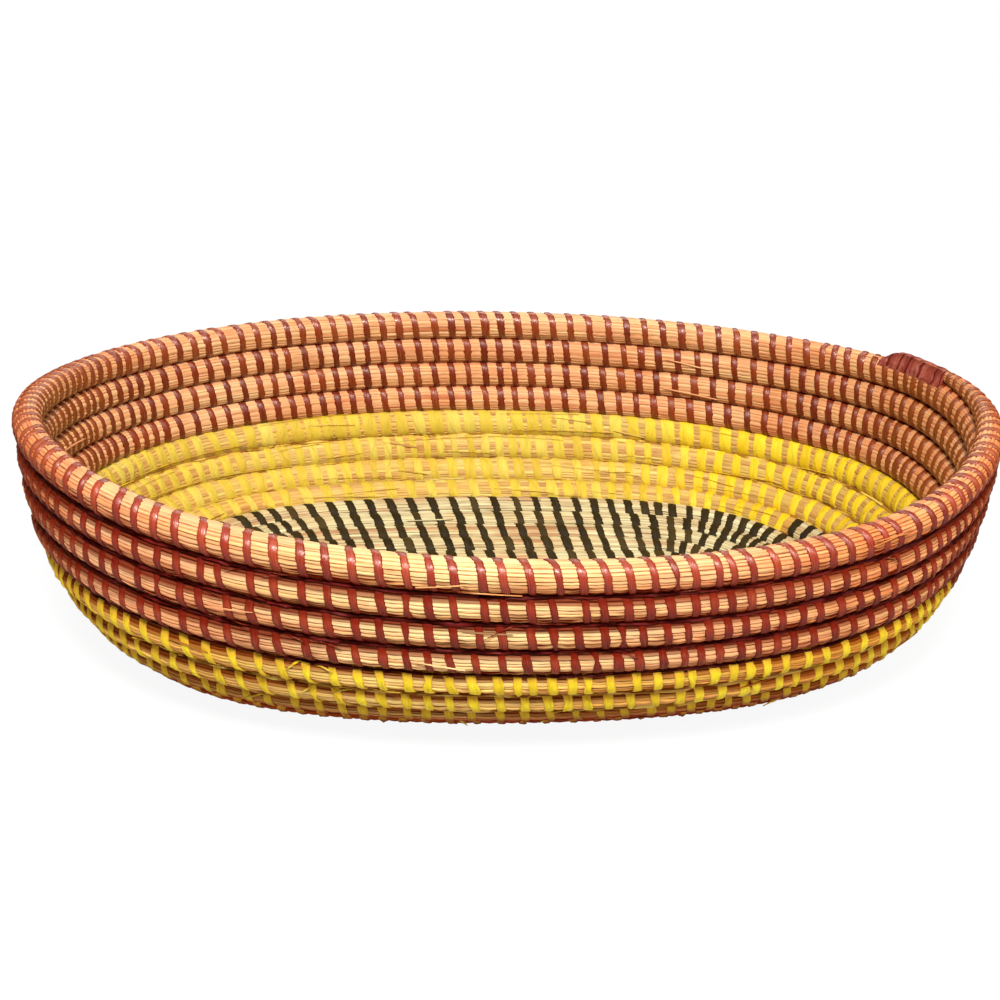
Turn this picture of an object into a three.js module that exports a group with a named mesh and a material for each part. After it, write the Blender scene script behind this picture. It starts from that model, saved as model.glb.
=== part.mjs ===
// An oval basket coiled from one long bundle of grass. The bundle starts as a straight run in the
// middle of the base, winds outwards as a flat spiral, turns up into a leaning wall and thins out
// on top of the rim. Strips of black, yellow and red sew each round to the round below it.
// Units are millimetres and +Z is up. The long side of the oval lies along X.
import * as THREE from "three";

// Bundle and stitching
const coilPitch = 11.5; // from the centre of one round to the centre of the next
const stitchRoom = 2.3; // open room between two rounds, where the strips pass
const bundleWidth = 10.4; // the bundle measured through the wall
const stripWidth = 3;
const stripThickness = 0.4;
const clearance = 0.3; // between a strip and the bundle it is laid on, and between cut ends
const restFlatDepth = 1.04; // how deep the underside of the base is cut flat to stand on

// Shape of the oval and of the wall
const startHalfLength = 64; // half of the straight run that the spiral starts from
const rimRounding = 46; // how far the rim is drawn from straight sides to an ellipse
const rimWaveShares = [
  { alongCos: -0.17, alongSin: -0.04, wavesPerRound: 1 },
  { alongCos: 0.38, alongSin: 0.16, wavesPerRound: 2 },
  { alongCos: 0.07, alongSin: -0.09, wavesPerRound: 3 },
]; // how far the hand-made rim rises and dips on its way round, as shares of the coil's pitch
const tipShare = 0.35; // what is left of the bundle's section at its tapered tip

// Counts and angles
const stepsPerRound = 24;
const roundsInAll = 14 + 21 / stepsPerRound;
const closedRoundCount = 15.06; // rounds from the end to where the spiral would close on its start
const endAngle = THREE.MathUtils.degToRad(38); // direction of the wall where the bundle ends
const wallLeanDegrees = [3, 3, 5.7, 10.5, 16.8, 25.8, 36.4, 50.2, 68.9, 84, 90]; // by round
const roundedRoundCount = 2; // the rim's rounding holds for these rounds, then dies out to the middle
const waveRoundCount = 8; // the rim's waves die out over these rounds
const blackEndsAtRound = 8; // rounds are counted down from the bundle's end
const yellowEndsAtRound = 4 + 5 / stepsPerRound;
const taperSteps = 3;
const stepsPerStitch = 4;
const bindingTurns = 5;
const bundleSides = 6;
const stripRunShare = 0.42; // where a strip runs along the slant under a round's outer side
const earlyStitchShare = 0.4; // place of a stitch on its step, in every other round
const slipShare = 0.2; // open room between two turns of a strip, as a share of its width
const cutShare = 0.5; // the bundle is cut across this far along a step, where it runs straight

const bundleHeight = coilPitch - stitchRoom;
const lastStep = Math.round(roundsInAll * stepsPerRound);
const restHeight = bundleWidth / 2 - restFlatDepth; // centre of the base's rounds above the table

const roundAtStep = (step) => roundsInAll - step / stepsPerRound;
const stepAtRound = (round) => Math.round((roundsInAll - round) * stepsPerRound);

// Angle between the wall and the vertical at a round, in radians
function wallLean(round) {
  const place = Math.min(Math.max(round, 0), wallLeanDegrees.length - 1);
  const low = Math.min(Math.floor(place), wallLeanDegrees.length - 2);
  const degrees = THREE.MathUtils.lerp(wallLeanDegrees[low], wallLeanDegrees[low + 1], place - low);
  return THREE.MathUtils.degToRad(degrees);
}

// How far a round stands outside the straight start, and above the rounds of the base
function wallProfile(round) {
  const slices = 64;
  const flatFrom = wallLeanDegrees.length - 1;
  const span = flatFrom - round;
  let outward = (closedRoundCount - Math.max(flatFrom, round)) * coilPitch;
  let upward = 0;
  if (span <= 0) return { outward, upward };
  for (let slice = 0; slice < slices; slice += 1) {
    const lean = wallLean(round + (span * (slice + 0.5)) / slices);
    outward += (Math.sin(lean) * span * coilPitch) / slices;
    upward += (Math.cos(lean) * span * coilPitch) / slices;
  }
  return { outward, upward };
}

// Centre of the bundle at a step, with the wall's outward and downward directions there
function bundlePlace(step) {
  const round = roundAtStep(step);
  const angle = endAngle - 2 * Math.PI * round;
  const { outward, upward } = wallProfile(round);
  const roundingShare = (closedRoundCount - round) / (closedRoundCount - roundedRoundCount);
  const rounding = rimRounding * Math.min(roundingShare, 1) ** 2;
  const halfLength = startHalfLength + rounding;
  const normal = new THREE.Vector3(Math.cos(angle), Math.sin(angle), 0);
  const turn = Math.atan2(rounding * normal.y, halfLength * normal.x);
  const wave = THREE.MathUtils.clamp(1 - (round - 0.5) / waveRoundCount, 0, 1);
  const riseShare = rimWaveShares.reduce((sum, { alongCos, alongSin, wavesPerRound }) => {
    const here = wavesPerRound * angle;
    return sum + alongCos * Math.cos(here) + alongSin * Math.sin(here);
  }, 0);
  const height = restHeight + upward + wave * riseShare * coilPitch;
  const centre = new THREE.Vector3(halfLength * Math.cos(turn), rounding * Math.sin(turn), height)
    .addScaledVector(normal, outward - rounding);
  return { centre, normal, lean: wallLean(round) };
}

// Share of the full section that is left at a step: one, but for the tapered tip
function sectionShare(step) {
  const taper = THREE.MathUtils.clamp((step - (lastStep - taperSteps - 1)) / taperSteps, 0, 1);
  return THREE.MathUtils.lerp(1, tipShare, taper);
}

// One ring of the bundle: its centre, its directions and the share of the section it keeps
function bundleRing(step) {
  const { centre, normal, lean } = bundlePlace(step);
  const before = bundlePlace(Math.max(step - 1, 0)).centre;
  const after = bundlePlace(Math.min(step + 1, lastStep)).centre;
  const along = after.sub(before).normalize();
  const up = new THREE.Vector3(0, 0, 1);
  const out = normal.clone().multiplyScalar(Math.cos(lean)).addScaledVector(up, -Math.sin(lean));
  out.addScaledVector(along, -out.dot(along)).normalize();
  const down = new THREE.Vector3().crossVectors(along, out);
  const share = sectionShare(step);
  centre.addScaledVector(down, ((1 - share) * bundleHeight) / 2);
  return { centre, out, down, share };
}

const rings = Array.from({ length: lastStep + 1 }, (_, step) => bundleRing(step));

// Corners of the bundle's section as [downwards, outwards]: a point towards each neighbouring
// round, and flats to the inside and the outside of the basket
function sectionCorners(share, offset) {
  const halfHeight = (bundleHeight * share) / 2;
  const halfWidth = (bundleWidth * share) / 2;
  const slant = Math.atan2(halfWidth, halfHeight / 2);
  const pointReach = halfHeight + offset / Math.sin(slant);
  const flatReach = halfWidth + offset;
  const flatHalf = halfHeight / 2 + offset * Math.tan(slant / 2);
  return [
    [pointReach, 0],
    [flatHalf, flatReach],
    [-flatHalf, flatReach],
    [-pointReach, 0],
    [-flatHalf, -flatReach],
    [flatHalf, -flatReach],
  ];
}

// Point on a ring, at a corner count round the section that may lie between two corners
function ringPoint(ring, corner, offset) {
  const corners = sectionCorners(ring.share, offset);
  const low = Math.floor(corner);
  const part = corner - low;
  const [downA, outA] = corners[THREE.MathUtils.euclideanModulo(low, bundleSides)];
  const [downB, outB] = corners[THREE.MathUtils.euclideanModulo(low + 1, bundleSides)];
  return ring.centre.clone()
    .addScaledVector(ring.down, THREE.MathUtils.lerp(downA, downB, part))
    .addScaledVector(ring.out, THREE.MathUtils.lerp(outA, outB, part));
}

// Point on the bundle's surface, or off it by the offset, at a step that may lie between two rings
function surfacePoint(step, corner, offset) {
  const low = Math.min(Math.max(Math.floor(step), 0), lastStep - 1);
  const start = ringPoint(rings[low], corner, offset);
  const end = ringPoint(rings[low + 1], corner, offset);
  return start.lerp(end, step - low);
}

// Length of one step of the bundle
function stepLength(step) {
  const low = Math.min(Math.max(Math.floor(step), 0), lastStep - 1);
  return rings[low].centre.distanceTo(rings[low + 1].centre);
}

// Closed mesh from loops of points that run one after another
function meshFromLoops(name, loops, material) {
  const count = loops[0].length;
  const indices = [];
  for (let loop = 0; loop + 1 < loops.length; loop += 1) {
    for (let side = 0; side < count; side += 1) {
      const next = (side + 1) % count;
      const a = loop * count + side;
      const b = loop * count + next;
      indices.push(a, b, b + count, a, b + count, a + count);
    }
  }
  const last = (loops.length - 1) * count;
  for (let side = 1; side + 1 < count; side += 1) {
    indices.push(0, side + 1, side, last, last + side, last + side + 1);
  }
  const geometry = new THREE.BufferGeometry().setFromPoints(loops.flat());
  geometry.setIndex(indices);
  geometry.computeVertexNormals();
  const mesh = new THREE.Mesh(geometry, material);
  mesh.name = name;
  return mesh;
}

const standsOnTable = (point) => {
  point.z = Math.max(point.z, 0);
  return point;
};

// A length of the bundle from one step to another, with square ends and a flat underside
function bundleLength(name, fromStep, toStep, material) {
  const stops = [fromStep];
  for (let step = Math.floor(fromStep) + 1; step < toStep; step += 1) stops.push(step);
  stops.push(toStep);
  const loops = stops.map((step) =>
    [5, 4, 3, 2, 1, 0].map((corner) => standsOnTable(surfacePoint(step, corner, 0))));
  return meshFromLoops(name, loops, material);
}

// A strip over the bundle. Each station holds the strip's two edges as [step, corner].
function stripOver(name, stations, material) {
  const loops = stations.map(([left, right]) => [
    surfacePoint(left[0], left[1], clearance),
    surfacePoint(right[0], right[1], clearance),
    surfacePoint(right[0], right[1], clearance + stripThickness),
    surfacePoint(left[0], left[1], clearance + stripThickness),
  ]);
  return meshFromLoops(name, loops, material);
}

const slantLength = Math.hypot(bundleHeight / 4, bundleWidth / 2);
const halfStripCorners = stripWidth / 2 / slantLength;
const halfStripSteps = (step) => stripWidth / 2 / stepLength(step);
const turnAdvance = (step) => (stripWidth * (1 + slipShare)) / stepLength(step);

// Stations for a strip that runs straight along the bundle, or turns a corner of its own
const runStation = (step, corner) => [
  [step, corner - halfStripCorners],
  [step, corner + halfStripCorners],
];
const turnStation = (step, corner, half) => [
  [step - half, corner - halfStripCorners],
  [step + half, corner + halfStripCorners],
];
const crossStation = (step, corner, half) => [
  [step - half, corner],
  [step + half, corner],
];

// One stitch all the way round the bundle, from the outer groove and back to it
function wholeStitch(middle) {
  const half = halfStripSteps(middle);
  const advance = turnAdvance(middle);
  const start = middle - advance / 2;
  const stations = [turnStation(start, stripRunShare, half)];
  for (let corner = 0; corner > -bundleSides; corner -= 1) {
    const turned = (stripRunShare - corner) / bundleSides;
    stations.push(crossStation(start + advance * turned, corner, half));
  }
  stations.push(turnStation(start + advance, stripRunShare - bundleSides, half));
  return stations;
}

// One stitch over the top of a round in the base, from one side's groove to the other's
function topStitch(middle, fromInside) {
  const half = fromInside ? halfStripSteps(middle) : -halfStripSteps(middle);
  const farCorner = -bundleSides / 2;
  const stations = [turnStation(middle, stripRunShare, half)];
  for (let corner = 0; corner >= farCorner; corner -= 1) {
    stations.push(crossStation(middle, corner, half));
  }
  stations.push(turnStation(middle, farCorner - stripRunShare, half));
  return fromInside ? stations : stations.reverse();
}

// Every fourth step carries a stitch, one step further on with each round, and so does each long
// straight step in the middle of the base
function carriesStitch(step) {
  const shifted = (step % stepsPerRound) - Math.floor(step / stepsPerRound);
  const turnComes = (shifted + stepsPerRound) % stepsPerStitch === 0;
  const roomy = stepLength(step) > 3 * stripWidth;
  return (turnComes && roomy) || stepLength(step) > startHalfLength;
}

// Where a step's stitch lies, so that stitches of neighbouring rounds never meet
function stitchMiddle(step) {
  const oddRound = Math.floor(step / stepsPerRound) % 2 === 1;
  return step + (oddRound ? 1 - earlyStitchShare : earlyStitchShare);
}

// The strip that sews one round, from one step to another
function stitching(name, fromStep, toStep, material) {
  const inWall = roundAtStep(fromStep) <= blackEndsAtRound;
  const start = fromStep + clearance / stepLength(fromStep);
  const end = toStep - clearance / stepLength(toStep - 1);
  let run = stripRunShare;
  const stations = [runStation(start, run)];
  for (let step = fromStep; step < toStep; step += 1) {
    if (step > fromStep) stations.push(runStation(step, run));
    if (!carriesStitch(step)) continue;
    if (inWall) {
      stations.push(...wholeStitch(stitchMiddle(step)));
    } else {
      const fromInside = run > 0;
      stations.push(...topStitch(stitchMiddle(step), fromInside));
      run = fromInside ? -bundleSides / 2 - stripRunShare : stripRunShare;
    }
  }
  stations.push(runStation(end, run));
  return stripOver(name, stations, material);
}

// The close winding that holds the bundle's thin tip
function binding(name, fromStep, material) {
  const half = halfStripSteps(fromStep);
  const advance = turnAdvance(fromStep);
  const stations = [];
  for (let corner = 0; corner <= bindingTurns * bundleSides; corner += 1) {
    const turned = corner / bundleSides;
    stations.push(crossStation(fromStep + half + advance * turned, -corner, half));
  }
  return stripOver(name, stations, material);
}

// The least distance between neighbouring rounds of one length of the bundle, measured on points
// along the section's corners
function leastGapToItself(fromStep, toStep) {
  const parts = 4;
  const corners = Array.from({ length: bundleSides }, (_, corner) => corner);
  const points = [];
  for (let step = fromStep; step <= toStep; step += 1 / parts) {
    points.push(corners.map((corner) => surfacePoint(step, corner, 0)));
  }
  let least = Infinity;
  const reach = 2 * parts;
  for (let here = 0; here < points.length; here += 1) {
    const opposite = here + stepsPerRound * parts;
    const last = Math.min(opposite + reach, points.length - 1);
    for (let there = opposite - reach; there <= last; there += 1) {
      for (const point of points[here]) {
        for (const other of points[there]) least = Math.min(least, point.distanceTo(other));
      }
    }
  }
  return least;
}

const grass = new THREE.MeshStandardMaterial({ color: 0xd9b36a, roughness: 0.75 });
const black = new THREE.MeshStandardMaterial({ color: 0x23201a, roughness: 0.5 });
const yellow = new THREE.MeshStandardMaterial({ color: 0xf0cf28, roughness: 0.6 });
const red = new THREE.MeshStandardMaterial({ color: 0xa82c28, roughness: 0.35 });
const darkRed = new THREE.MeshStandardMaterial({ color: 0x7a2029, roughness: 0.4 });

const yellowFrom = stepAtRound(blackEndsAtRound);
const redFrom = stepAtRound(yellowEndsAtRound);
const tipFrom = lastStep - 1;

const bundles = [
  ["bundle_base", 0, yellowFrom + cutShare],
  ["bundle_lower_wall", yellowFrom + cutShare, redFrom + cutShare],
  ["bundle_upper_wall", redFrom + cutShare, lastStep],
].map(([name, from, to]) => {
  const startGap = from > 0 ? clearance / 2 / stepLength(from) : 0;
  const endGap = to < lastStep ? clearance / 2 / stepLength(to) : 0;
  console.log(`${name}: least gap to itself ${leastGapToItself(from, to).toFixed(2)} mm`);
  return bundleLength(name, from + startGap, to - endGap, grass);
});

// A strip for each round, broken where the colour changes and at the foot of the tip's binding
function stripsBetween(colourName, fromStep, toStep, material) {
  const breaks = [fromStep];
  for (let round = Math.ceil(roundAtStep(fromStep)) - 1; stepAtRound(round) < toStep; round -= 1) {
    breaks.push(stepAtRound(round));
  }
  breaks.push(toStep);
  return breaks.slice(1).map((toBreak, index) =>
    stitching(`strip_${colourName}_${index + 1}`, breaks[index], toBreak, material));
}

const basket = new THREE.Group();
basket.add(
  ...bundles,
  ...stripsBetween("black", 0, yellowFrom, black),
  ...stripsBetween("yellow", yellowFrom, redFrom, yellow),
  ...stripsBetween("red", redFrom, tipFrom, red),
  binding("tip_binding", tipFrom, darkRed),
);

const middle = new THREE.Box3().setFromObject(basket).getCenter(new THREE.Vector3());
basket.position.set(-middle.x, -middle.y, 0);

export default basket;
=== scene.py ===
import math
from collections import namedtuple

import bpy
import numpy as np
from mathutils import Matrix, Vector


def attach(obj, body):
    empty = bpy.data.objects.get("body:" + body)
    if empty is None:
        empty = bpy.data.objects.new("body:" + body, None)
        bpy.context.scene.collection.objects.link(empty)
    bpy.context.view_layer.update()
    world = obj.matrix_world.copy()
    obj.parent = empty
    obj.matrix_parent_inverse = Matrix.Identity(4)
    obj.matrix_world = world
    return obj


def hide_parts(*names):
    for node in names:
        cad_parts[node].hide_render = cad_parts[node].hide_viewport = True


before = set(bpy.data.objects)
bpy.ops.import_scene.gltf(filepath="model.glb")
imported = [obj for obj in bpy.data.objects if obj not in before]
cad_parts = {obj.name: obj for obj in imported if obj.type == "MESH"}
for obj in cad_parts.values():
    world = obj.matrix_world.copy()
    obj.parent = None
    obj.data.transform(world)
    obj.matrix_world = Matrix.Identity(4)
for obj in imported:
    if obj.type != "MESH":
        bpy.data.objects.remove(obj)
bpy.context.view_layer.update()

chance = np.random.default_rng(11)
metre = 0.001

# The coil, in millimetres. Rounds are counted down from the bundle's end on top of the rim.
coil_pitch = 11.5
rounds_in_all = 14 + 21 / 24
rounds_to_middle = 15.06
end_angle = math.radians(38)
start_half_length = 64
rim_rounding = 46
rounded_rounds = 2
shift_to_middle = np.array([0.4693, 0.1502, 0.0])
rest_height = 5.95
black_ends = 8
yellow_ends = 4 + 5 / 24
tip_starts = 1 / 24

# How far each round leans out from upright, from the rim down to the flat base
wall_lean = np.radians([3, 3, 5.7, 10.5, 16.8, 25.8, 36.4, 50.2, 68.9, 84, 90])
leaning_rounds = len(wall_lean) - 1

# The rim's rise and dip: cosine and sine parts, in rounds, of one, two and three waves round it,
# which fade out below, and two bumps as place and width in degrees and height
rim_waves = [(-0.17, -0.04, 1), (0.38, 0.16, 2), (0.07, -0.09, 3)]
rim_wave_rounds = 8
rim_bumps = [(28, 28, 2.6), (140, 40, -1.0)]

# The wall's two ends stand out further than the oval, the right one most
end_stretch = 1.7
right_end_stretch = 0.5
stretch_rounds = 3

# Section of the bundle. Its outside is rounder than its inside, and both its ends are thinner.
row_half_height = 5.7
row_half_width = 5.2
row_squareness = 2.4
outer_squareness = 2.05
start_share = 0.82
start_grows_over = 160
taper_rounds = 3 / 24
tip_share = 0.29

# Straws, and their relief: tops and valleys vary, stand out between stitches and are pressed in
# under them, more so on the outside
straws = 24
straw_marks = (0, 0.2, 0.5, 0.8)
straw_edge_wander = 0.34
straw_top = -0.12
straw_rounding = 0.08
valley_depth = 0.72
unevenness = 0.36
swell = 0.16
pressed_in = 0.24
pressed_more_outside = 0.18
seam_rise = 0.3
seam_width = 0.045

# Stitches and strips
stitch_spacing = 7.9
stations_per_stitch = 4
strip_thickness = 0.34
groove_depth = 5.75
groove_out = 3.1
strip_widths = {"black": (3.3, 3.8), "yellow": (3.0, 4.4), "red": (2.95, 3.3)}
loose_shares = {"black": 0.05, "yellow": 0.3, "red": 0.08}

# Stitches close up where the coil turns round the ends of the oval, and to the right in the base
closer_at_ends = 0.27
end_starts = 118
end_length = 45
closer_at_right = 0.07
right_middle = 17
right_half_length = 30

# How finely the coil is worked out
coil_samples = 300000
lean_samples = 4000
arc_step = 0.5


def eased(share):
    """A share that starts and ends gently, from 0 to 1."""
    share = np.clip(share, 0, 1)
    return share * share * (3 - 2 * share)


def lean_at(rounds):
    return np.interp(rounds, np.arange(leaning_rounds + 1), wall_lean)


def wall_profile(rounds):
    """How far out and how far up the bundle has come at each round."""
    fine = np.linspace(leaning_rounds, 0, lean_samples + 1)
    lean = lean_at(fine)
    between = (lean[1:] + lean[:-1]) / 2
    step = leaning_rounds / lean_samples * coil_pitch
    outward = np.concatenate([[0], np.cumsum(np.sin(between) * step)])
    upward = np.concatenate([[0], np.cumsum(np.cos(between) * step)])
    in_base = (rounds_to_middle - np.maximum(rounds, leaning_rounds)) * coil_pitch
    return np.interp(-rounds, -fine, outward) + in_base, np.interp(-rounds, -fine, upward)


def coil_line():
    """Rounds, outward directions and points of the bundle's middle line: an oval spiral that starts
    from a straight run and grows rounder towards the rim."""
    rounds = np.linspace(rounds_in_all, 0, coil_samples)
    out_by, up_by = wall_profile(rounds)
    angle = end_angle - 2 * math.pi * rounds
    nx, ny = np.cos(angle), np.sin(angle)
    share = np.minimum((rounds_to_middle - rounds) / (rounds_to_middle - rounded_rounds), 1)
    rounding = rim_rounding * share ** 2
    half_length = start_half_length + rounding
    turn = np.arctan2(rounding * ny, half_length * nx)
    fade = np.clip(1 - (rounds - 0.5) / rim_wave_rounds, 0, 1)
    rise = sum(a * np.cos(k * angle) + b * np.sin(k * angle) for a, b, k in rim_waves) * coil_pitch
    centre = np.stack([
        half_length * np.cos(turn) + nx * (out_by - rounding),
        rounding * np.sin(turn) + ny * (out_by - rounding),
        rest_height + up_by + fade * rise,
    ], 1) + shift_to_middle
    for middle, width, lift in rim_bumps:
        apart = np.degrees(np.angle(np.exp(1j * (angle - math.radians(middle)))))
        centre[:, 2] += fade * lift * np.exp(-(apart / width) ** 2)
    stretch = np.clip((black_ends - rounds) / stretch_rounds, 0, 1)
    centre[:, 0] += stretch * nx ** 2 * (end_stretch + right_end_stretch * nx)
    return rounds, nx, ny, centre


def coil_table():
    """Arc lengths in equal steps, with the bundle's round, place, and directions along, out and up."""
    rounds, nx, ny, centre = coil_line()
    length = np.concatenate([[0], np.cumsum(np.linalg.norm(np.diff(centre, axis=0), axis=1))])
    arc = np.arange(0, length[-1], arc_step)

    def at(values):
        return np.interp(arc, length, values)

    place = np.stack([at(centre[:, i]) for i in range(3)], 1)
    tilt = at(lean_at(rounds))
    along = np.gradient(place, axis=0)
    along /= np.linalg.norm(along, axis=1)[:, None]
    out = np.stack([at(nx), at(ny), 0 * arc], 1) * np.cos(tilt)[:, None] - np.outer(np.sin(tilt), [0, 0, 1])
    out -= along * np.sum(out * along, 1)[:, None]
    out /= np.linalg.norm(out, axis=1)[:, None]
    return arc, at(rounds), place, along, out, np.cross(out, along)


arcs, arc_rounds, places, alongs, outs, ups = coil_table()
coil_length = arcs[-1]


def arc_at_round(round_):
    return float(np.interp(-round_, -arc_rounds, arcs))


def on_coil(values, arc):
    if values.ndim == 1:
        return np.interp(arc, arcs, values)
    return np.stack([np.interp(arc, arcs, values[:, i]) for i in range(values.shape[1])], -1)


def surface(arc, turn, rise):
    """Points on the bundle at arc lengths and turns round its section: 0 is the side of the next
    round, 0.25 the outside of the basket and 0.75 its inside. rise lifts them off the bundle."""
    arc, turn, rise = np.broadcast_arrays(np.asarray(arc, float), np.asarray(turn, float), rise)
    angle = 2 * math.pi * turn
    c, s = np.cos(angle), np.sin(angle)
    power = 2 / np.where(s > 0, outer_squareness, row_squareness)
    up_share = np.sign(c) * np.abs(c) ** power
    out_share = np.sign(s) * np.abs(s) ** power
    n_up = np.sign(c) * np.abs(c) ** (2 - power) / row_half_height
    n_out = np.sign(s) * np.abs(s) ** (2 - power) / row_half_width
    n_len = np.hypot(n_up, n_out)
    rounds = on_coil(arc_rounds, arc)
    taper = np.clip((taper_rounds + tip_starts - rounds) / taper_rounds, 0, 1)
    size = 1 + (tip_share - 1) * taper
    size = size * (start_share + (1 - start_share) * np.clip(arc / start_grows_over, 0, 1))
    up_by = row_half_height * (size * up_share - (1 - size) * (rounds < 1)) + rise * n_up / n_len
    out_by = row_half_width * size * out_share + rise * n_out / n_len
    return (on_coil(places, arc) + on_coil(ups, arc) * up_by[..., None]
            + on_coil(outs, arc) * out_by[..., None])


def wander(tracks, arc, spacing, seed):
    """Smooth random values from -1 to 1 for each track along the coil."""
    knots = np.random.default_rng(seed).uniform(-1, 1, (tracks, int(coil_length / spacing) + 3))
    place = np.asarray(arc) / spacing
    low = np.clip(np.floor(place).astype(int), 0, knots.shape[1] - 2)
    part = eased(place - low)
    return knots[:, low] * (1 - part) + knots[:, low + 1] * part


# Where the stitches stand

def spacing_at(i):
    x = places[i, 0]
    closer = closer_at_ends * eased((abs(x) - end_starts) / end_length)
    if arc_rounds[i] > black_ends:
        closer += closer_at_right * np.clip((x - right_middle) / right_half_length, -1, 1)
    return stitch_spacing * (1 - closer)


def place_above(i):
    """Arc length of the spot on the next round that lies against sample i of this one, on the same
    side of the basket."""
    reach, far_off, same_side = 140, 100, 0.3
    middle, steps = int(arc_at_round(arc_rounds[i] - 1) / arc_step), int(reach / arc_step)
    window = np.arange(max(middle - steps, 0), min(middle + steps, len(arcs) - 1))
    away = np.linalg.norm(places[window] - places[i], axis=1)
    other_side = outs[window] @ outs[i] < same_side
    return arcs[window[np.argmin(away + far_off * other_side)]]


def stitch_places():
    """Arc length of every stitch. Each one stands on a stitch of the round before it, a little
    further on, and new ones come in where the rows fan out round the ends of the oval. In the end
    they are evened out a little and moved by chance, a few of them more than the rest."""
    first, end_margin = 5, 4
    base_drift, wall_drift = 1.5, 0.1
    closest, new_from, evened = 0.7, 0.24, 0.4
    first_scatter, scatter, paired_share, most_paired = 0.2, 0.42, 0.03, 1.8
    found = list(np.arange(first, arc_at_round(rounds_in_all - 1), stitch_spacing))
    last = arc_at_round(tip_starts) - end_margin
    source = 0
    while found[-1] < last:
        i = int(found[source] / arc_step)
        source += 1
        drift = base_drift if arc_rounds[i] > black_ends + 1 else wall_drift
        here = place_above(i) + drift + chance.normal(0, first_scatter)
        gap = here - found[-1]
        spacing = spacing_at(i)
        if gap < closest * spacing:
            continue
        missing = int(round(gap / spacing + new_from))
        if missing > 1:
            found += [found[-1] + gap / missing * k for k in range(1, missing)]
        else:
            here -= evened * (gap - spacing)
        found.append(here)
    found = np.array([s for s in found if s < last])
    for _ in range(4):
        found[1:-1] = 0.6 * found[1:-1] + 0.2 * (found[:-2] + found[2:])
    found[1:-1] += chance.normal(0, scatter, len(found) - 2)
    paired = chance.random(len(found)) < paired_share
    found[paired] += chance.uniform(-most_paired, most_paired, paired.sum())
    return np.sort(found)


stitches = stitch_places()


def slants(arc):
    """How far a stitch leans along the coil on the outside and on the inside, as shares of the
    stitch spacing."""
    rounds = on_coil(arc_rounds, arc)
    marks = [yellow_ends, black_ends - 0.5, black_ends + 0.5]
    return np.interp(rounds, marks, [0.28, 0.24, 0.36]), np.interp(rounds, marks, [0.26, 0.2, 0.3])


def ring_lean(turn, arc):
    """How far the rings of the straw mesh lean with the stitches, in stitch spacings."""
    marks = [0, 0.08, 0.42, 0.58, 0.92, 1]
    outer, inner = slants(arc)
    return (outer * np.interp(turn, marks, [-0.25, -0.5, 0.5, 0, 0, -0.25])
            + inner * np.interp(turn, marks, [0.25, 0, 0, -0.5, 0.5, 0.25]))


def stitch_lean(turn, arc):
    """How far a stitch has come along the coil at a turn, in stitch spacings."""
    outer, inner = (float(x) / 2 for x in slants(arc))
    return np.interp(turn, [0, 0.08, 0.42, 0.58, 0.92, 1.08],
                     [(inner - outer - 0.5) / 2, -outer, outer, 0.5 - inner, 0.5 + inner, 1 - outer])


# Meshes

def add_object(name, data):
    thing = bpy.data.objects.new(name, data)
    bpy.context.scene.collection.objects.link(thing)
    return thing


def make_object(name, points, faces, face_uvs, material):
    """A mesh object from points in millimetres, faces, and one UV pair for each face corner."""
    mesh = bpy.data.meshes.new(name)
    mesh.from_pydata((points * metre).tolist(), [], faces)
    layer = mesh.uv_layers.new(name="lay")
    layer.data.foreach_set("uv", np.asarray(face_uvs, np.float32).ravel())
    mesh.materials.append(material)
    return add_object(name, mesh)


def tube(name, points, along, across, material):
    """A closed tube through rings of points, with its ends capped. In its map, along is given for
    each ring or each point, and across for each place round the rings."""
    rings, around = points.shape[:2]
    index = np.arange(rings * around).reshape(rings, around)
    right = np.roll(index, -1, 1)
    quads = np.stack([index[:-1], right[:-1], right[1:], index[1:]], -1).reshape(-1, 4)
    faces = quads.tolist() + [list(range(around))[::-1], index[-1].tolist()]
    left_u = np.broadcast_to(along.reshape(rings, -1), (rings, around))
    right_u = np.roll(left_u, -1, 1)
    right_v = np.concatenate([across[1:], [across[-1] + (across[-1] - across[-2])]])
    uv = np.empty((rings - 1, around, 4, 2))
    uv[..., 0, 0], uv[..., 1, 0] = left_u[:-1], right_u[:-1]
    uv[..., 2, 0], uv[..., 3, 0] = right_u[1:], left_u[1:]
    uv[..., 0, 1] = uv[..., 3, 1] = across
    uv[..., 1, 1] = uv[..., 2, 1] = right_v
    caps = np.full((2 * around, 2), 0.5)
    caps[:around, 0], caps[around:, 0] = left_u[0].mean(), left_u[-1].mean()
    uvs = np.concatenate([uv.reshape(-1, 2), caps])
    return make_object(name, points.reshape(-1, 3), faces, uvs, material)


def select_only(things):
    bpy.ops.object.select_all(action="DESELECT")
    for thing in things:
        thing.select_set(True)
    bpy.context.view_layer.objects.active = things[0]


def join(name, parts):
    select_only(parts)
    bpy.ops.object.join()
    parts[0].name = name
    return parts[0]


# Materials

def new_material(name, roughness):
    material = bpy.data.materials.new(name)
    material.use_nodes = True
    shader = material.node_tree.nodes["Principled BSDF"]
    shader.inputs["Roughness"].default_value = roughness
    return material, material.node_tree, shader


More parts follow.
